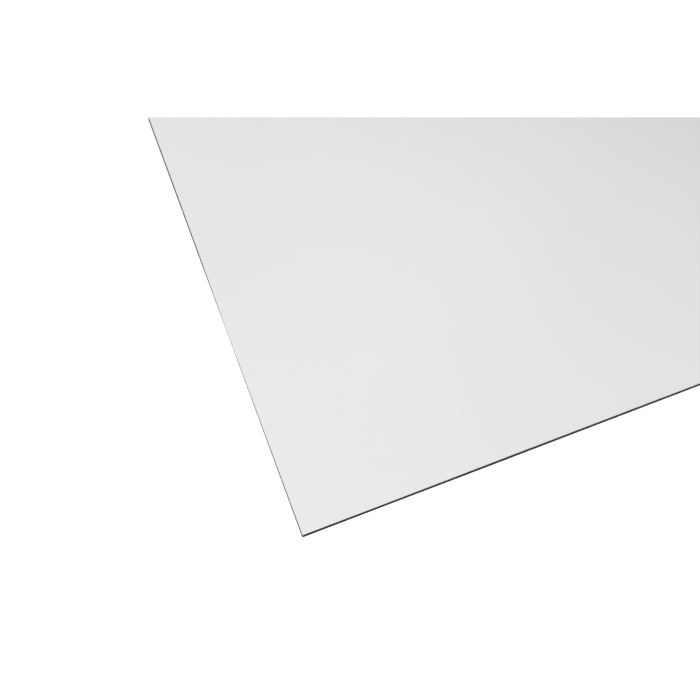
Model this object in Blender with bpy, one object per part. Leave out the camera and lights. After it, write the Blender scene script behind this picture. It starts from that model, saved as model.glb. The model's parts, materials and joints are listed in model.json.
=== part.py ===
"""Kitchen splashback panel: an aluminium composite sheet, sawn to size with bare edges, lying face up.

X runs along the edge that stands on the worktop, Y up the wall and Z out of the side that faces the kitchen.
"""

import math

import bmesh
import bpy

# Driving sizes in metres
PANEL_WIDTH = 1.500
PANEL_HEIGHT = 0.600
SHEET_THICKNESS = 0.004
FACE_SKIN_THICKNESS = 0.0003
BACK_SKIN_THICKNESS = 0.0003
BOND_FILM = 0.00002  # adhesive between each skin and the core
CORNER_EASING = 0.0005  # radius that the file leaves on the sawn corners
ARRIS_BREAK = 0.0001  # chamfer that takes the burr off each skin's outer edge

CORNER_STEPS = 4
ARRIS_STEPS = 2
SMOOTH_UP_TO = math.radians(35)


def clear_scene():
    for obj in list(bpy.data.objects):
        bpy.data.objects.remove(obj, do_unlink=True)


def surface(name, color, roughness, metallic=0.0):
    material = bpy.data.materials.new(name)
    material.use_nodes = True
    shader = material.node_tree.nodes["Principled BSDF"]
    shader.inputs["Base Color"].default_value = (*color, 1.0)
    shader.inputs["Roughness"].default_value = roughness
    shader.inputs["Metallic"].default_value = metallic
    return material


def white_lacquer():
    """Satin polyester coil coat on the side that shows."""
    return surface("white_lacquer", (0.80, 0.80, 0.80), 0.38)


def black_polyethylene():
    return surface("black_polyethylene", (0.026, 0.019, 0.025), 0.55)


def service_coat():
    """Thin grey wash coat over the aluminium on the side that is glued."""
    return surface("service_coat", (0.46, 0.47, 0.47), 0.45, 0.6)


def sheet_outline(mesh):
    """One face in the panel's plan, with its four corners eased."""
    right = PANEL_WIDTH / 2
    top = PANEL_HEIGHT / 2
    plan = ((-right, -top), (right, -top), (right, top), (-right, top))
    corners = [mesh.verts.new((x, y, 0.0)) for x, y in plan]
    mesh.faces.new(corners)
    bmesh.ops.bevel(
        mesh,
        geom=corners,
        offset=CORNER_EASING,
        segments=CORNER_STEPS,
        profile=0.5,
        affect="VERTICES",
    )


def thicken(mesh, thickness):
    raised = bmesh.ops.extrude_face_region(mesh, geom=mesh.faces[:])
    verts = [item for item in raised["geom"] if isinstance(item, bmesh.types.BMVert)]
    bmesh.ops.translate(mesh, verts=verts, vec=(0.0, 0.0, thickness))
    bmesh.ops.recalc_face_normals(mesh, faces=mesh.faces[:])


def break_arris(mesh, side):
    """Chamfers the sharp edge all round the skin's top or bottom face."""
    highest_or_lowest = max if side == "top" else min
    flat_side = highest_or_lowest(mesh.faces, key=lambda face: face.calc_center_median().z)
    bmesh.ops.bevel(
        mesh,
        geom=flat_side.edges[:],
        offset=ARRIS_BREAK,
        segments=ARRIS_STEPS,
        profile=0.5,
        affect="EDGES",
    )


def layer(name, bottom, thickness, material, arris=None):
    """One sheet of the laminate as its own object, with the arris broken on the side that shows."""
    mesh = bmesh.new()
    sheet_outline(mesh)
    thicken(mesh, thickness)
    if arris is not None:
        break_arris(mesh, arris)
    data = bpy.data.meshes.new(name)
    mesh.to_mesh(data)
    mesh.free()
    data.shade_smooth()
    data.set_sharp_from_angle(angle=SMOOTH_UP_TO)
    data.materials.append(material)
    sheet = bpy.data.objects.new(name, data)
    sheet.location.z = bottom
    bpy.context.collection.objects.link(sheet)
    return sheet


def back_skin():
    return layer("back_skin", 0.0, BACK_SKIN_THICKNESS, service_coat(), arris="bottom")


def core():
    bottom = BACK_SKIN_THICKNESS + BOND_FILM
    top = SHEET_THICKNESS - FACE_SKIN_THICKNESS - BOND_FILM
    return layer("core", bottom, top - bottom, black_polyethylene())


def face_skin():
    bottom = SHEET_THICKNESS - FACE_SKIN_THICKNESS
    return layer("face_skin", bottom, FACE_SKIN_THICKNESS, white_lacquer(), arris="top")


def splashback_panel():
    """The laminate under one parent, which stands at the centre of the side that lies down."""
    panel = bpy.data.objects.new("splashback_panel", None)
    bpy.context.collection.objects.link(panel)
    for sheet in (back_skin(), core(), face_skin()):
        sheet.parent = panel


clear_scene()
splashback_panel()
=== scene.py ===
"""Kitchen splashback panel: the finishes of its three bonded sheets, and the white studio that it lies in."""

import json
import math

import bpy
from bpy.props import FloatProperty, FloatVectorProperty, PointerProperty
from mathutils import Matrix, Vector

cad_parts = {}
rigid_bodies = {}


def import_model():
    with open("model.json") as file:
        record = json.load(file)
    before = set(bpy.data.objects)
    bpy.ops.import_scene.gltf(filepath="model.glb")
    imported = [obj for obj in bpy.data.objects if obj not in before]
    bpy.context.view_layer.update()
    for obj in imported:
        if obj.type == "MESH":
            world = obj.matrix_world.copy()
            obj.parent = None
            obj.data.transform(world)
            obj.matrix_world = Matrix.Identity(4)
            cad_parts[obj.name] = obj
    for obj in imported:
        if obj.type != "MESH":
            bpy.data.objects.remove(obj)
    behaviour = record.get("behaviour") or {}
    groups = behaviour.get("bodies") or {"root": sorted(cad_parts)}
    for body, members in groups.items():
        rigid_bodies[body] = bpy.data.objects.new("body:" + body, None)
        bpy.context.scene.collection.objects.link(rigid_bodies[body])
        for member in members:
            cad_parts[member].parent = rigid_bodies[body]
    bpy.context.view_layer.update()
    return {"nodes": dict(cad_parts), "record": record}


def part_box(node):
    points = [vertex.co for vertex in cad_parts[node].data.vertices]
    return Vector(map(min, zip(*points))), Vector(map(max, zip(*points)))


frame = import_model()

bl_info = {
    "name": "Kitchen Splashback Panel",
    "version": (1, 0, 0),
    "blender": (4, 5, 0),
    "location": "View3D > Sidebar > Splashback",
    "description": "Lacquer, sawn edges and service coat for a composite sheet panel, with its studio",
    "category": "Object",
}

SENSOR_WIDTH = 36.0  # millimetres

face_low, face_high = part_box("face_skin")
near_left_corner = Vector((face_low.x, face_low.y, face_high.z))
HALF_PLAN = {"half_length": face_high.x, "half_height": face_high.y}
CORNER_EASING = 0.0005  # radius of the panel's sawn corners
NARROWEST_PAINTED_SHADOW = 0.00002  # metres, so that the painted shadow still covers the cut where it doesn't reach the coat
UNDERSIDE_GAP = 0.0004  # metres within which light that reaches the floor comes from the panel's underside
CLIP_START = 0.01  # metres, well short of the corner that is nearest to the camera
WHITE = (1.0, 1.0, 1.0, 1.0)


def recorded_color(slot):
    """The record's plain colour for a material slot."""
    for material in frame["record"]["materials"]:
        if material["slot"] == slot:
            return tuple(material["base_color"])
    raise ValueError(f"the record has no material slot {slot}")


# Settings that a user would change


def length(name, description, default):
    return FloatProperty(
        name=name, description=description, default=default, min=0.0, unit="LENGTH", precision=5
    )


def factor(name, description, default):
    return FloatProperty(
        name=name, description=description, default=default, min=0.0, max=1.0, subtype="FACTOR"
    )


def color(name, description, default):
    return FloatVectorProperty(
        name=name, description=description, default=default, min=0.0, max=1.0, size=3, subtype="COLOR"
    )


def place(name, description, default):
    return FloatVectorProperty(
        name=name, description=description, default=default, size=3, unit="LENGTH", precision=4
    )


def angle(name, description, degrees):
    return FloatProperty(
        name=name, description=description, default=math.radians(degrees), unit="ROTATION"
    )


def watts(name, description, default):
    return FloatProperty(name=name, description=description, default=default, min=0.0, unit="POWER")


class LacquerSettings(bpy.types.PropertyGroup):
    """White coil coat on the side that faces the kitchen"""

    tint: color("Lacquer", "Colour of the coil coat", recorded_color("face_lacquer"))
    roughness: factor("Roughness", "How far the satin coat blurs what it mirrors", 0.40)
    mottle: factor("Mottle", "How much darker the thinnest places of the coat are", 0.004)
    peel_size: length("Peel size", "Width of one bump of the roller texture", 0.0022)
    peel_depth: length("Peel depth", "Height of the roller texture", 0.0000025)
    wave_size: length("Wave size", "Width of one broad wave of the laminate", 0.16)
    wave_depth: length("Wave depth", "Height of the broad waves", 0.000012)


class BareMetalSettings(bpy.types.PropertyGroup):
    """Aluminium that the saw laid bare along the cut edges"""

    tint: color("Aluminium", "Colour of freshly cut aluminium", (0.78, 0.785, 0.79))
    roughness: factor("Roughness", "How far the sawn metal blurs what it mirrors", 0.34)
    chip: length("Chip", "How far back from the cut the coat has come off", 0.00009)
    chip_size: length("Chip size", "Length of one chip along the cut", 0.0008)


class PaintedShadowSettings(bpy.types.PropertyGroup):
    """Painted shadow laid over the skins along the cuts, more so further along each cut"""

    # Painted shadow: this dark colour is laid over the skins beside the cuts, reaching further from the near
    # left corner, so that painted shade widens the dark edge line.
    tint: color("Painted shadow", "Colour of the dragged plastic", (0.016, 0.009, 0.015))
    roughness: factor("Roughness", "Roughness of the dragged plastic", 0.6)
    near_start: length("Near start", "Where it begins on the near edge, from that corner", 0.04)
    left_start: length("Left start", "Where it begins on the left edge, from that corner", 0.17)
    cover_run: length("Cover run", "Length over which it comes to cover the cut metal", 0.10)
    near_full: length("Near full", "Where it reaches furthest on to the coat by the near edge", 0.32)
    near_reach: length("Near reach", "How far it reaches there beside the near edge", 0.00042)
    left_full: length("Left full", "Where it reaches furthest on to the coat by the left edge", 0.60)
    left_reach: length("Left reach", "How far it reaches there beside the left edge", 0.00105)
    grain: length("Grain", "Length of one ragged bit of the smear's outline", 0.0015)


class SawSettings(bpy.types.PropertyGroup):
    """Marks that the saw blade leaves across the cut edges"""

    pitch: length("Pitch", "Distance from one tooth mark to the next", 0.0009)
    depth: length("Depth", "Depth of the tooth marks", 0.00004)
    slant: factor("Slant", "Lean of the tooth marks over the thickness", 0.35)


class CoreSettings(bpy.types.PropertyGroup):
    """Black polyethylene between the two skins"""

    tint: color("Polyethylene", "Colour of the filled black core", recorded_color("core_plastic"))
    scuff: color("Scuffs", "Colour where the blade has whitened the plastic", (0.075, 0.071, 0.075))
    roughness: factor("Roughness", "Roughness of the sawn plastic", 0.95)
    shine: factor("Shine", "Specular level of the sawn plastic", 0.1)
    # Painted reflection: the pale colour below and its stretch along the left edge stand in for the white
    # floor that the edge mirrors there, and the knock is a short gap in it.
    dust: color("Painted reflection", "Colour of the pale dust rubbed into the left edge", (0.62, 0.61, 0.61))
    dust_cover: factor("Dust cover", "Share of the troughs that is covered where the dust is thickest", 1.0)
    dust_on_ridges: factor("Dust on ridges", "The same on the ridges, where it has worn off", 0.45)
    dust_patch: length("Dust patch", "Length of one patch of thicker or thinner dust", 0.012)
    dust_from_corner: length("Dust place", "Where the dust is thickest, from the near left corner", 0.162)
    dust_near: length("Dust near", "Length over which the dust thins out towards that corner", 0.219)
    dust_far: length("Dust far", "Length over which it thins out away from that corner", 0.115)
    knock_from_corner: length("Reflection gap", "Where a knock has left the plastic bare", 0.2045)
    knock_length: length("Knock length", "Length of the bare knock", 0.004)


class ServiceCoatSettings(bpy.types.PropertyGroup):
    """Thin grey wash coat on the side that is glued to the wall"""

    tint: color("Service coat", "Colour of the wash coat", recorded_color("back_coat"))
    roughness: factor("Roughness", "Roughness of the wash coat", 0.45)
    metal: factor("Metal", "How much of the aluminium shows through the coat", 0.6)
    streak: factor("Streaks", "How much darker the rolling streaks are", 0.10)
    streak_length: length("Streak length", "Length of one rolling streak", 0.35)
    streak_width: length("Streak width", "Width of one rolling streak", 0.004)


class StudioSettings(bpy.types.PropertyGroup):
    """White floor, soft lamps and camera"""

    floor_tint: color("Floor", "Colour of the floor", (0.8, 0.8, 0.8))
    floor_side: length("Floor side", "Length of the square floor", 60.0)
    floor_gap: length("Floor gap", "Space between the panel and the floor", 0.00005)
    floor_glow: factor("Floor glow", "White that the camera sees on top of the lit floor by the panel", 0.55)
    far_glow: factor("Far glow", "The same where the lamps no longer reach", 0.78)
    glow_reach: length("Glow reach", "Distance from the panel at which the far glow is full", 4.0)
    floor_mirrored: factor("Floor in mirrors", "White that shiny surfaces see on top of the lit floor", 0.25)
    ambient: factor("Ambient", "Light from the white walls round the studio", 0.30)
    key_power: watts("Key power", "Power of the lamp left of the panel", 124.6)
    key_side: length("Key side", "Length of the square key lamp", 3.0)
    key_place: place("Key place", "Middle of the key lamp", (-2.6, -1.6, 2.2))
    sheen_power: watts("Sheen power", "Power of the lamp mirrored by the lacquer", 6.7)
    sheen_side: length("Sheen side", "Length of the square sheen lamp", 1.6)
    sheen_place: place("Sheen place", "Middle of the sheen lamp", (0.6, 1.5, 1.8))
    lamp_target: place("Lamp target", "Where both lamps are aimed", (-0.6, -0.2, 0.0))
    lens: FloatProperty(name="Lens", description="Focal length", default=23.093, unit="CAMERA")
    camera_offset: place(
        "Camera place", "Camera from the near left corner of the face", (-0.05039, -0.08734, 0.24321)
    )
    camera_turn: angle("Turn", "How far right of straight ahead it looks", 32.684)
    camera_dip: angle("Dip", "How far below the horizon it looks", 44.494)
    camera_roll: angle("Roll", "How far it leans to the left", -11.708)


class PanelSettings(bpy.types.PropertyGroup):
    """All settings of the splashback panel"""

    lacquer: PointerProperty(type=LacquerSettings)
    bare_metal: PointerProperty(type=BareMetalSettings)
    smear: PointerProperty(type=PaintedShadowSettings)
    saw: PointerProperty(type=SawSettings)
    core: PointerProperty(type=CoreSettings)
    service_coat: PointerProperty(type=ServiceCoatSettings)
    studio: PointerProperty(type=StudioSettings)


# How the patterns behave

USUAL_NOISE = (0.3, 0.7)  # what noise seldom leaves
CHIP_REACHES = (0.4, 1.6)  # shares of the chip setting, for the shallowest and the deepest chips
CHIP_SOFT_FROM = 0.85  # share of a chip's reach from which it fades into the coat
PAINTED_SHADOW_RAGGED = (0.6, 1.5)  # factors on the distance from the cut, which make the painted shadow's outline ragged
PAINTED_SHADOW_SOFT_FROM = 0.6  # share of the painted shadow's reach from which it fades

PITCHES_ACROSS = 6.0  # tooth marks that fit into one change of the pattern across the cut
FEED_SCALE = 0.12  # changes of the feed for each tooth mark
FEED_SWING = 4.0  # tooth marks by which the feed runs ahead or behind
FIBRE_SCALE = 2.6  # torn fibres for each tooth mark
FIBRE_SHARE = 0.55  # share of the height that the fibres make
PATCH_SCALE = 0.35  # torn patches for each tooth mark
PATCH_TORN = (0.4, 0.65)  # noise at which a patch begins to be torn and at which it is torn all over
PULLED_UP = (0.55, 0.8)  # heights at which a ridge begins to be pulled up and at which it is so all over

SAWN_HEIGHTS = (0.2, 0.8)  # heights of the troughs and of the ridges that differ in roughness
BURNISHED, RIDGED, TORN = 0.75, 1.3, 1.6  # shares of the metal's roughness in troughs, on ridges and on tears
SAWN_PLASTIC_SWING = 0.05  # share of the plastic's roughness by which it rises and falls
SATIN_SWING = 0.04  # the same for the lacquer
BRUSHED_SWING = 0.12  # the same for the service coat
MOTTLES_IN_WAVE = 3.0  # mottled places that fit into one broad wave
CLOUD_SHARE = 0.3  # share of the service coat's pattern that is mottle, and the rest is streaks

# The pale stretch on the left edge is painted reflection, and the gap is a break in it.
PAINTED_REFLECTION_HEIGHTS = (0.25, 0.75)  # heights of the saw marks up to which the painted reflection is full, and from which it keeps only its share on the ridges
PAINTED_REFLECTION_PATCHES = (0.8, 1.1)  # shares of the painted reflection in its faintest and in its strongest patches
REFLECTION_GAP_RAGS = 3.0  # ragged bits that fit into the outline of the gap in the painted reflection
REFLECTION_GAP_RAGGED = (0.6, 1.4)  # factors on the distance from the gap's middle, which make its outline ragged
REFLECTION_GAP_FAINTEST_TO = 0.2  # share of the gap's length that has the least painted reflection, on each side of its middle
REFLECTION_GAP_ENDS_AT = 0.5  # the same for where the painted reflection is whole again
REFLECTION_LEFT_IN_GAP = 0.25  # share of the painted reflection that is left where the gap is deepest


# Shader building


def feed(tree, socket, value):
    """Links an output to the socket, or writes a plain value on it."""
    if isinstance(value, bpy.types.NodeSocket):
        tree.links.new(value, socket)
    else:
        socket.default_value = value


def node(tree, kind, inputs=None, **options):
    made = tree.nodes.new(kind)
    for name, value in options.items():
        setattr(made, name, value)
    for name, value in (inputs or {}).items():
        feed(tree, made.inputs[name], value)
    return made


def calculate(tree, operation, *values):
    made = node(tree, "ShaderNodeMath", operation=operation)
    for number, value in enumerate(values):
        feed(tree, made.inputs[number], value)
    return made.outputs[0]


def remap(tree, value, low, high, to_low, to_high, interpolation="LINEAR"):
    made = node(
        tree,
        "ShaderNodeMapRange",
        {"Value": value, "From Min": low, "From Max": high, "To Min": to_low, "To Max": to_high},
        interpolation_type=interpolation,
    )
    return made.outputs["Result"]


# The numbers of a Mix node's sockets for the mask, the first and the second value, and for the result
MIX_SOCKETS = {"FLOAT": ((0, 2, 3), 0), "RGBA": ((0, 6, 7), 2)}


def blend(tree, data_type, *values):
    inputs, output = MIX_SOCKETS[data_type]
    made = node(tree, "ShaderNodeMix", data_type=data_type)
    for number, value in zip(inputs, values):
        feed(tree, made.inputs[number], value)
    return made.outputs[output]


def blend_numbers(tree, mask, first, second):
    return blend(tree, "FLOAT", mask, first, second)


def blend_colors(tree, mask, first, second):
    return blend(tree, "RGBA", mask, first, second)


def noise(tree, position, scale, detail=2.0, roughness=0.5):
    made = node(
        tree,
        "ShaderNodeTexNoise",
        {"Vector": position, "Scale": scale, "Detail": detail, "Roughness": roughness},
        noise_dimensions="3D",
    )
    return made.outputs["Fac"]


def spread(tree, wandering, low, high):
    """Stretches noise, which keeps near its middle, over all of low to high."""
    return remap(tree, wandering, *USUAL_NOISE, low, high)


def opaque(rgb, shade=1.0):
    """The colour with full alpha, made darker or lighter by shade."""
    return (*(channel * shade for channel in rgb), 1.0)


VECTOR = "NodeSocketVector"
NUMBER = "NodeSocketFloat"


def start_group(name, inputs, outputs):
    """An empty shader node group with these named sockets, and its own input and output nodes."""
    group = bpy.data.node_groups.new(name, "ShaderNodeTree")
    for socket_name, kind in inputs:
        group.interface.new_socket(name=socket_name, in_out="INPUT", socket_type=kind)
    for socket_name in outputs:
        group.interface.new_socket(name=socket_name, in_out="OUTPUT", socket_type=NUMBER)
    return group, group.nodes.new("NodeGroupInput"), group.nodes.new("NodeGroupOutput")


def place_group(tree, group, **inputs):
    """Places a shared effect in a material. An input's name is written with _ for each space."""
    made = node(tree, "ShaderNodeGroup", node_tree=group)
    for name, value in inputs.items():
        feed(tree, made.inputs[name.replace("_", " ").capitalize()], value)
    return made.outputs


PLAN_INPUTS = (("Position", VECTOR), ("Half length", NUMBER), ("Half height", NUMBER))
PAINTED_SHADOW_VALUES = ("start", "full", "reach")  # what each cut has of its own


def coordinates(tree, position):
    return node(tree, "ShaderNodeSeparateXYZ", {"Vector": position}).outputs


def inwards(tree, given, spot):
    """Distances from the nearer short edge and from the nearer long edge of the panel."""
    across = calculate(tree, "ABSOLUTE", spot["X"])
    up = calculate(tree, "ABSOLUTE", spot["Y"])
    from_side = calculate(tree, "SUBTRACT", given.outputs["Half length"], across)
    from_front = calculate(tree, "SUBTRACT", given.outputs["Half height"], up)
    return from_side, from_front


def chipped_edge_group():
    """Bare is 1 on the cut sides and as far in from them as the coat has chipped away."""
    inputs = (*PLAN_INPUTS, ("Chip", NUMBER), ("Chip size", NUMBER))
    tree, given, result = start_group("Chipped edge", inputs, ["Bare"])
    spot = coordinates(tree, given.outputs["Position"])
    from_cut = calculate(tree, "MINIMUM", *inwards(tree, given, spot))
    per_chip = calculate(tree, "DIVIDE", 1.0, given.outputs["Chip size"])
    wander = noise(tree, given.outputs["Position"], per_chip, detail=3.0)
    reach = calculate(tree, "MULTIPLY", given.outputs["Chip"], spread(tree, wander, *CHIP_REACHES))
    soft_from = calculate(tree, "MULTIPLY", reach, CHIP_SOFT_FROM)
    feed(tree, result.inputs["Bare"], remap(tree, from_cut, soft_from, reach, 1.0, 0.0, "SMOOTHSTEP"))
    return tree


def painted_shadow_beside_cut(tree, given, side, off, along, ragged):
    """Painted shadow beside one cut, where off is the distance in from it and along the distance from its
    start.
    """
    start, full, full_reach = (given.outputs[f"{side} {value}"] for value in PAINTED_SHADOW_VALUES)
    cover = remap(tree, along, start, calculate(tree, "ADD", start, given.outputs["Cover run"]), 0.0, 1.0)
    reach = remap(tree, along, start, full, NARROWEST_PAINTED_SHADOW, full_reach)
    soft_from = calculate(tree, "MULTIPLY", reach, PAINTED_SHADOW_SOFT_FROM)
    inside = remap(tree, calculate(tree, "MULTIPLY", off, ragged), soft_from, reach, 1.0, 0.0)
    return calculate(tree, "MULTIPLY", cover, inside)


def painted_shadow_group():
    """Painted shadow is 1 where dark painted shade lies over a skin beside a cut.

    The left and the near cut both start at the near left corner.
    """
    by_cut = [f"{side} {value}" for side in ("Near", "Left") for value in PAINTED_SHADOW_VALUES]
    inputs = (*PLAN_INPUTS, *((name, NUMBER) for name in (*by_cut, "Cover run", "Grain")))
    tree, given, result = start_group("Painted shadow along cuts", inputs, ["Painted shadow"])
    spot = coordinates(tree, given.outputs["Position"])
    from_left = calculate(tree, "ADD", spot["X"], given.outputs["Half length"])
    from_front = calculate(tree, "ADD", spot["Y"], given.outputs["Half height"])
    per_grain = calculate(tree, "DIVIDE", 1.0, given.outputs["Grain"])
    wander = noise(tree, given.outputs["Position"], per_grain, detail=4.0, roughness=0.6)
    ragged = spread(tree, wander, *PAINTED_SHADOW_RAGGED)
    beside_left = painted_shadow_beside_cut(tree, given, "Left", from_left, from_front, ragged)
    beside_near = painted_shadow_beside_cut(tree, given, "Near", from_front, from_left, ragged)
    feed(tree, result.inputs["Painted shadow"], calculate(tree, "MAXIMUM", beside_left, beside_near))
    return tree


def saw_marks_group():
    """Height is the tooth marks across the cut, and Torn is where their ridges are pulled up."""
    inputs = (*PLAN_INPUTS, ("Pitch", NUMBER), ("Slant", NUMBER))
    tree, given, result = start_group("Saw marks", inputs, ["Height", "Torn"])
    spot = coordinates(tree, given.outputs["Position"])
    from_side, from_front = inwards(tree, given, spot)
    on_short_edge = calculate(tree, "LESS_THAN", from_side, from_front)
    lean = calculate(tree, "MULTIPLY", spot["Z"], given.outputs["Slant"])
    along = calculate(tree, "ADD", blend_numbers(tree, on_short_edge, spot["X"], spot["Y"]), lean)
    teeth = calculate(tree, "DIVIDE", along, given.outputs["Pitch"])
    one_across = calculate(tree, "MULTIPLY", given.outputs["Pitch"], PITCHES_ACROSS)
    across = calculate(tree, "DIVIDE", spot["Z"], one_across)
    cut = node(tree, "ShaderNodeCombineXYZ", {"X": teeth, "Y": on_short_edge, "Z": across}).outputs["Vector"]
    uneven_feed = calculate(tree, "MULTIPLY", noise(tree, cut, FEED_SCALE), FEED_SWING)
    phase = calculate(tree, "MULTIPLY", calculate(tree, "ADD", teeth, uneven_feed), math.tau)
    ridge = remap(tree, calculate(tree, "SINE", phase), -1.0, 1.0, 0.0, 1.0)
    fibre = noise(tree, cut, FIBRE_SCALE, detail=4.0, roughness=0.65)
    height = blend_numbers(tree, FIBRE_SHARE, ridge, fibre)
    feed(tree, result.inputs["Height"], height)
    uneven = noise(tree, cut, PATCH_SCALE, detail=3.0, roughness=0.6)
    patches = remap(tree, uneven, *PATCH_TORN, 0.0, 1.0)
    pulled_up = remap(tree, height, *PULLED_UP, 0.0, 1.0)
    feed(tree, result.inputs["Torn"], calculate(tree, "MULTIPLY", pulled_up, patches))
    return tree


def coat_texture_group():
    """Peel is the roller texture, Wave the slow waves of the laminate and Mottle the coat's thickness."""
    inputs = (("Position", VECTOR), ("Peel size", NUMBER), ("Wave size", NUMBER))
    tree, given, result = start_group("Coat texture", inputs, ["Peel", "Wave", "Mottle"])
    position = given.outputs["Position"]
    per_peel = calculate(tree, "DIVIDE", 1.0, given.outputs["Peel size"])
    per_wave = calculate(tree, "DIVIDE", 1.0, given.outputs["Wave size"])
    feed(tree, result.inputs["Peel"], noise(tree, position, per_peel, detail=1.0, roughness=0.4))
    feed(tree, result.inputs["Wave"], noise(tree, position, per_wave, detail=1.0, roughness=0.3))
    per_mottle = calculate(tree, "MULTIPLY", per_wave, MOTTLES_IN_WAVE)
    mottle = noise(tree, position, per_mottle, detail=4.0, roughness=0.6)
    feed(tree, result.inputs["Mottle"], spread(tree, mottle, 0.0, 1.0))
    return tree


def rolled_streaks_group():
    """Streak is long fine lines along X, the way the coil ran through the line."""
    inputs = (("Position", VECTOR), ("Streak length", NUMBER), ("Streak width", NUMBER))
    tree, given, result = start_group("Rolled streaks", inputs, ["Streak"])
    spot = coordinates(tree, given.outputs["Position"])
    along = calculate(tree, "DIVIDE", spot["X"], given.outputs["Streak length"])
    across = calculate(tree, "DIVIDE", spot["Y"], given.outputs["Streak width"])
    drawn = node(tree, "ShaderNodeCombineXYZ", {"X": along, "Y": across}).outputs["Vector"]
    streak = noise(tree, drawn, 1.0, detail=5.0, roughness=0.6)
    feed(tree, result.inputs["Streak"], spread(tree, streak, 0.0, 1.0))
    return tree


def shared_group(name, builder):
    return bpy.data.node_groups.get(name) or builder()


def start_material(name, **constants):
    """A material with its Principled shader, on whose own sockets the constants are set."""
    material = bpy.data.materials.new(name)
    material.use_nodes = True
    shader = material.node_tree.nodes["Principled BSDF"]
    for socket_name, value in constants.items():
        shader.inputs[socket_name.replace("_", " ")].default_value = value
    return material, material.node_tree, shader


def object_position(tree):
    return tree.nodes.new("ShaderNodeTexCoord").outputs["Object"]


def chipped_edge(tree, position, metal):
    placed = place_group(
        tree,
        shared_group("Chipped edge", chipped_edge_group),
        position=position,
        **HALF_PLAN,
        chip=metal.chip,
        chip_size=metal.chip_size,
    )
    return placed["Bare"]


def painted_shadow_along_cuts(tree, position, smear):
    placed = place_group(
        tree,
        shared_group("Painted shadow along cuts", painted_shadow_group),
        position=position,
        **HALF_PLAN,
        near_start=smear.near_start,
        near_full=smear.near_full,
        near_reach=smear.near_reach,
        left_start=smear.left_start,
        left_full=smear.left_full,
        left_reach=smear.left_reach,
        cover_run=smear.cover_run,
        grain=smear.grain,
    )
    return placed["Painted shadow"]


def saw_marks(tree, position, saw):
    group = shared_group("Saw marks", saw_marks_group)
    placed = place_group(tree, group, position=position, **HALF_PLAN, pitch=saw.pitch, slant=saw.slant)
    return placed["Height"], placed["Torn"]


def bump(tree, height, distance, under=None):
    made = node(tree, "ShaderNodeBump", {"Height": height, "Distance": distance, "Strength": 1.0})
    if under is not None:
        feed(tree, made.inputs["Normal"], under)
    return made.outputs["Normal"]


def sawn_metal_roughness(tree, metal, height, torn):
    """The troughs are burnished by the teeth, and the torn ridges are dull."""
    burnished, ridged = metal.roughness * BURNISHED, metal.roughness * RIDGED
    sawn = remap(tree, height, *SAWN_HEIGHTS, burnished, ridged)
    return blend_numbers(tree, torn, sawn, metal.roughness * TORN)


def varied(tree, pattern, low, high, roughness, swing):
    """The roughness, less by this share of itself where the pattern is low and more where it is high."""
    return remap(tree, pattern, low, high, roughness * (1.0 - swing), roughness * (1.0 + swing))


def coat_over_metal(tree, shader, position, coat, settings):
    """Feeds the shader the coat, the sawn metal under it and the painted shadow laid over both.

    The coat is given as its colour, its metallic value, its roughness and its normal.
    """
    metal, saw, smear = settings.bare_metal, settings.saw, settings.smear
    color_of_coat, metal_in_coat, coat_roughness, coat_normal = coat
    bare = chipped_edge(tree, position, metal)
    in_painted_shadow = painted_shadow_along_cuts(tree, position, smear)
    height, torn = saw_marks(tree, position, saw)
    clean_color = blend_colors(tree, bare, color_of_coat, opaque(metal.tint))
    clean_roughness = blend_numbers(
        tree, bare, coat_roughness, sawn_metal_roughness(tree, metal, height, torn)
    )
    clean_metal = blend_numbers(tree, bare, metal_in_coat, 1.0)
    # The dark colour laid over coat and metal beside the cuts is painted shadow.
    feed(tree, shader.inputs["Base Color"], blend_colors(tree, in_painted_shadow, clean_color, opaque(smear.tint)))
    feed(tree, shader.inputs["Metallic"], blend_numbers(tree, in_painted_shadow, clean_metal, 0.0))
    feed(tree, shader.inputs["Roughness"], blend_numbers(tree, in_painted_shadow, clean_roughness, smear.roughness))
    ridges = bump(tree, calculate(tree, "MULTIPLY", height, bare), saw.depth, coat_normal)
    feed(tree, shader.inputs["Normal"], ridges)


def satin_lacquer(settings):
    """Satin white coil coat, chipped back to bright metal along the saw cut."""
    coat = settings.lacquer
    material, tree, shader = start_material("Satin white lacquer", Specular_IOR_Level=0.5)
    position = object_position(tree)
    texture = place_group(
        tree,
        shared_group("Coat texture", coat_texture_group),
        position=position,
        peel_size=coat.peel_size,
        wave_size=coat.wave_size,
    )
    coated = blend_colors(tree, texture["Mottle"], opaque(coat.tint), opaque(coat.tint, 1.0 - coat.mottle))
    satin = varied(tree, texture["Mottle"], 0.0, 1.0, coat.roughness, SATIN_SWING)
    waves = bump(tree, texture["Wave"], coat.wave_depth)
    peel = bump(tree, texture["Peel"], coat.peel_depth, waves)
    coat_over_metal(tree, shader, position, (coated, 0.0, satin, peel), settings)
    return material


def painted_reflection_stretch(tree, position, core):
    """1 where the painted reflection on the left edge is strongest, and less where it fades out and in its
    gap.
    """
    spot = coordinates(tree, position)
    on_left = calculate(tree, "LESS_THAN", spot["X"], face_low.x + CORNER_EASING)
    thickest = face_low.y + core.dust_from_corner
    nearer = remap(tree, spot["Y"], thickest - core.dust_near, thickest, 0.0, 1.0)
    further = remap(tree, spot["Y"], thickest, thickest + core.dust_far, 1.0, 0.0, "SMOOTHSTEP")
    thinning = calculate(tree, "MULTIPLY", nearer, further)
    still_there = calculate(tree, "MULTIPLY", thinning, painted_reflection_outside_gap(tree, position, spot["Y"], core))
    return calculate(tree, "MULTIPLY", on_left, still_there)


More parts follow.
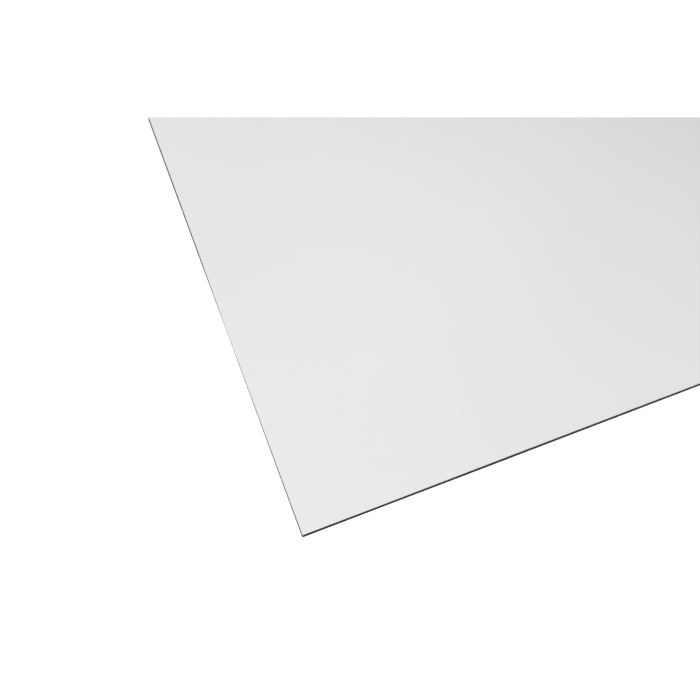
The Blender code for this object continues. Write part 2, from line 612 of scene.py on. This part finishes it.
def painted_reflection_outside_gap(tree, position, along, core):
    """1 except in the gap in the painted reflection, which has a ragged outline."""
    to_middle = calculate(tree, "SUBTRACT", along, face_low.y + core.knock_from_corner)
    ragged = spread(tree, noise(tree, position, REFLECTION_GAP_RAGS / core.knock_length, detail=3.0), *REFLECTION_GAP_RAGGED)
    away = calculate(tree, "MULTIPLY", calculate(tree, "ABSOLUTE", to_middle), ragged)
    bare_to, whole_from = core.knock_length * REFLECTION_GAP_FAINTEST_TO, core.knock_length * REFLECTION_GAP_ENDS_AT
    return remap(tree, away, bare_to, whole_from, REFLECTION_LEFT_IN_GAP, 1.0, "SMOOTHSTEP")


def painted_reflection_in_saw_marks(tree, position, height, core):
    """How much of the plastic the painted reflection hides: it covers the troughs first, in stronger and
    fainter patches.
    """
    filled = remap(tree, height, *PAINTED_REFLECTION_HEIGHTS, core.dust_cover, core.dust_cover * core.dust_on_ridges)
    patches = noise(tree, position, 1.0 / core.dust_patch, detail=3.0)
    patchy = calculate(tree, "MULTIPLY", filled, spread(tree, patches, *PAINTED_REFLECTION_PATCHES))
    return calculate(tree, "MULTIPLY", painted_reflection_stretch(tree, position, core), patchy)


def sawn_polyethylene(settings):
    """Black core with slanting tooth marks, whitened on torn ridges, and with a pale painted reflection on a
    stretch of the left edge.
    """
    core, saw = settings.core, settings.saw
    material, tree, shader = start_material("Sawn black polyethylene", Specular_IOR_Level=core.shine)
    position = object_position(tree)
    height, torn = saw_marks(tree, position, saw)
    sawn = blend_colors(tree, torn, opaque(core.tint), opaque(core.scuff))
    painted_reflection_share = painted_reflection_in_saw_marks(tree, position, height, core)
    # The pale colour on the left edge is painted reflection of the white floor that the edge mirrors.
    feed(tree, shader.inputs["Base Color"], blend_colors(tree, painted_reflection_share, sawn, opaque(core.dust)))
    rough = varied(tree, height, *SAWN_HEIGHTS, core.roughness, SAWN_PLASTIC_SWING)
    feed(tree, shader.inputs["Roughness"], rough)
    feed(tree, shader.inputs["Normal"], bump(tree, height, saw.depth))
    return material


def washed_service_coat(settings):
    """Thin grey coat over rolled aluminium, with streaks along the coil and bare metal at the cut."""
    coat, lacquer = settings.service_coat, settings.lacquer
    material, tree, shader = start_material("Grey service coat", Specular_IOR_Level=0.5)
    position = object_position(tree)
    texture = place_group(
        tree,
        shared_group("Coat texture", coat_texture_group),
        position=position,
        peel_size=lacquer.peel_size,
        wave_size=lacquer.wave_size,
    )
    streak = place_group(
        tree,
        shared_group("Rolled streaks", rolled_streaks_group),
        position=position,
        streak_length=coat.streak_length,
        streak_width=coat.streak_width,
    )["Streak"]
    cloudy = blend_numbers(tree, CLOUD_SHARE, streak, texture["Mottle"])
    thick, thin = opaque(coat.tint, 1.0 - coat.streak), opaque(coat.tint, 1.0 + coat.streak / 2)
    coated = blend_colors(tree, cloudy, thick, thin)
    brushed = varied(tree, streak, 0.0, 1.0, coat.roughness, -BRUSHED_SWING)
    waves = bump(tree, texture["Wave"], lacquer.wave_depth)
    rolled = bump(tree, streak, lacquer.peel_depth * 2, waves)
    coat_over_metal(tree, shader, position, (coated, coat.metal, brushed, rolled), settings)
    return material


def finish_node(name, material):
    """Gives the CAD node of this name its finish."""
    sheet = frame["nodes"][name]
    for slot in sheet.material_slots:
        slot.material = material
    if not sheet.material_slots:
        raise RuntimeError(f"{name} has no material slot")


def deselect_all():
    for obj in bpy.context.view_layer.objects:
        obj.select_set(False)


# Studio


def seen_directly(tree):
    """Two masks, of the camera's rays and of those that mirror in or pass through shiny things."""
    path = tree.nodes.new("ShaderNodeLightPath").outputs
    in_shine = calculate(tree, "MAXIMUM", path["Is Glossy Ray"], path["Is Transmission Ray"])
    return path["Is Camera Ray"], in_shine


def white_floor(studio):
    """Pale floor that the camera sees as white, save in deep shadow. From below it can't be seen."""
    material = bpy.data.materials.new("White floor")
    material.use_nodes = True
    tree = material.node_tree
    tree.nodes.clear()
    direct, in_shine = seen_directly(tree)
    glow_direct = calculate(tree, "MULTIPLY", direct, fading_glow(tree, studio))
    glow_in_shine = calculate(tree, "MULTIPLY", in_shine, studio.floor_mirrored)
    glow = node(
        tree,
        "ShaderNodeEmission",
        {"Color": WHITE, "Strength": calculate(tree, "ADD", glow_direct, glow_in_shine)},
    )
    paint = node(tree, "ShaderNodeBsdfDiffuse", {"Color": opaque(studio.floor_tint)})
    lit = node(tree, "ShaderNodeAddShader")
    feed(tree, lit.inputs[0], paint.outputs["BSDF"])
    feed(tree, lit.inputs[1], glow.outputs["Emission"])
    clear = node(tree, "ShaderNodeBsdfTransparent")
    one_sided = node(tree, "ShaderNodeMixShader", {"Fac": see_through_floor(tree)})
    feed(tree, one_sided.inputs[1], lit.outputs["Shader"])
    feed(tree, one_sided.inputs[2], clear.outputs["BSDF"])
    output = node(tree, "ShaderNodeOutputMaterial")
    feed(tree, output.inputs["Surface"], one_sided.outputs["Shader"])
    return material


def fading_glow(tree, studio):
    """The floor's own white, which makes up for the lamps' light where that fades away from the panel."""
    away = node(tree, "ShaderNodeVectorMath", {0: object_position(tree)}, operation="LENGTH").outputs["Value"]
    return remap(tree, away, face_high.x, studio.glow_reach, studio.floor_glow, studio.far_glow)


def see_through_floor(tree):
    """1 from below, and for light that leaves the panel's underside, so that views from below show it lit."""
    behind = tree.nodes.new("ShaderNodeNewGeometry").outputs["Backfacing"]
    ray_length = tree.nodes.new("ShaderNodeLightPath").outputs["Ray Length"]
    from_underside = calculate(tree, "LESS_THAN", ray_length, UNDERSIDE_GAP)
    return calculate(tree, "MAXIMUM", behind, from_underside)


def add_floor(studio):
    deselect_all()
    bpy.ops.mesh.primitive_plane_add(size=studio.floor_side, location=(0.0, 0.0, -studio.floor_gap))
    floor = bpy.context.object
    floor.name = "studio_floor"
    floor.data.materials.append(white_floor(studio))


def add_walls_of_light(studio):
    """White surroundings, which light the panel softly from all round."""
    world = bpy.data.worlds.new("Studio walls")
    world.use_nodes = True
    tree = world.node_tree
    background = tree.nodes["Background"]
    direct, in_shine = seen_directly(tree)
    seen = calculate(tree, "MAXIMUM", direct, in_shine)
    feed(tree, background.inputs["Color"], WHITE)
    feed(tree, background.inputs["Strength"], blend_numbers(tree, seen, studio.ambient, 1.0))
    bpy.context.scene.world = world


def add_lamp(name, spot, target, side, power):
    """A square soft lamp, aimed at the target."""
    deselect_all()
    spot = Vector(spot)
    aim = (Vector(target) - spot).to_track_quat("-Z", "Y")
    bpy.ops.object.light_add(type="AREA", location=spot, rotation=aim.to_euler())
    lamp = bpy.context.object
    lamp.name = name
    lamp.data.shape = "SQUARE"
    lamp.data.size = side
    lamp.data.energy = power
    return lamp


def add_key_lamp(studio):
    """Lights the face evenly and isn't mirrored in it, so the lacquer keeps its colour from every side."""
    lamp = add_lamp("key_lamp", studio.key_place, studio.lamp_target, studio.key_side, studio.key_power)
    lamp.visible_glossy = False


def add_sheen_lamp(studio):
    """Dim lamp beyond the panel, whose soft mirror image is the sheen on the lacquer."""
    add_lamp("sheen_lamp", studio.sheen_place, studio.lamp_target, studio.sheen_side, studio.sheen_power)


def add_camera(studio):
    """Close above the near left corner, looking along the panel and down."""
    turn, dip, roll = studio.camera_turn, studio.camera_dip, studio.camera_roll
    level_right = Vector((math.cos(turn), -math.sin(turn), 0.0))
    ahead = Vector((math.sin(turn), math.cos(turn), 0.0))
    up = Vector((0.0, 0.0, 1.0))
    view = ahead * math.cos(dip) - up * math.sin(dip)
    level_down = -ahead * math.sin(dip) - up * math.cos(dip)
    right = level_right * math.cos(roll) + level_down * math.sin(roll)
    down = -level_right * math.sin(roll) + level_down * math.cos(roll)
    deselect_all()
    bpy.ops.object.camera_add()
    camera = bpy.context.object
    camera.name = "camera"
    turned = Matrix((right, -down, -view)).transposed().to_4x4()
    camera.matrix_world = Matrix.Translation(near_left_corner + Vector(studio.camera_offset)) @ turned
    camera.data.sensor_width = SENSOR_WIDTH
    camera.data.lens = studio.lens
    camera.data.clip_start = CLIP_START
    bpy.context.scene.camera = camera


# Operators


class FaceSkinOperator(bpy.types.Operator):
    """Lacquers the aluminium sheet that faces the kitchen"""

    bl_idname = "splashback.face_skin"
    bl_label = "Face Skin"

    def execute(self, context):
        finish_node("face_skin", satin_lacquer(context.scene.splashback))
        return {"FINISHED"}


class CoreOperator(bpy.types.Operator):
    """Gives the polyethylene core its sawn black surface"""

    bl_idname = "splashback.core"
    bl_label = "Core"

    def execute(self, context):
        finish_node("core", sawn_polyethylene(context.scene.splashback))
        return {"FINISHED"}


class BackSkinOperator(bpy.types.Operator):
    """Puts the service coat on the aluminium sheet that is glued to the wall"""

    bl_idname = "splashback.back_skin"
    bl_label = "Back Skin"

    def execute(self, context):
        finish_node("back_skin", washed_service_coat(context.scene.splashback))
        return {"FINISHED"}


class StudioOperator(bpy.types.Operator):
    """Makes the white floor, the soft light and the camera"""

    bl_idname = "splashback.studio"
    bl_label = "Studio"

    def execute(self, context):
        studio = context.scene.splashback.studio
        add_floor(studio)
        add_walls_of_light(studio)
        add_key_lamp(studio)
        add_sheen_lamp(studio)
        add_camera(studio)
        context.scene.view_settings.view_transform = "Standard"
        return {"FINISHED"}


OPERATORS = (FaceSkinOperator, CoreOperator, BackSkinOperator, StudioOperator)


class SplashbackSidebar(bpy.types.Panel):
    """Lists the sheets of the panel and the studio"""

    bl_idname = "VIEW3D_PT_splashback"
    bl_label = "Splashback Panel"
    bl_space_type = "VIEW_3D"
    bl_region_type = "UI"
    bl_category = "Splashback"

    def draw(self, context):
        settings = context.scene.splashback
        for operator in OPERATORS:
            self.layout.operator(operator.bl_idname)
        for group_name in settings.__annotations__:
            group = getattr(settings, group_name)
            box = self.layout.box()
            for name in group.__annotations__:
                box.prop(group, name)


CLASSES = (
    LacquerSettings,
    BareMetalSettings,
    PaintedShadowSettings,
    SawSettings,
    CoreSettings,
    ServiceCoatSettings,
    StudioSettings,
    PanelSettings,
    *OPERATORS,
    SplashbackSidebar,
)


def register():
    for item in CLASSES:
        bpy.utils.register_class(item)
    bpy.types.Scene.splashback = PointerProperty(type=PanelSettings)


def unregister():
    del bpy.types.Scene.splashback
    for item in reversed(CLASSES):
        bpy.utils.unregister_class(item)


def main():
    register()
    bpy.ops.splashback.face_skin()
    bpy.ops.splashback.core()
    bpy.ops.splashback.back_skin()
    bpy.ops.splashback.studio()


if __name__ == "__main__":
    main()
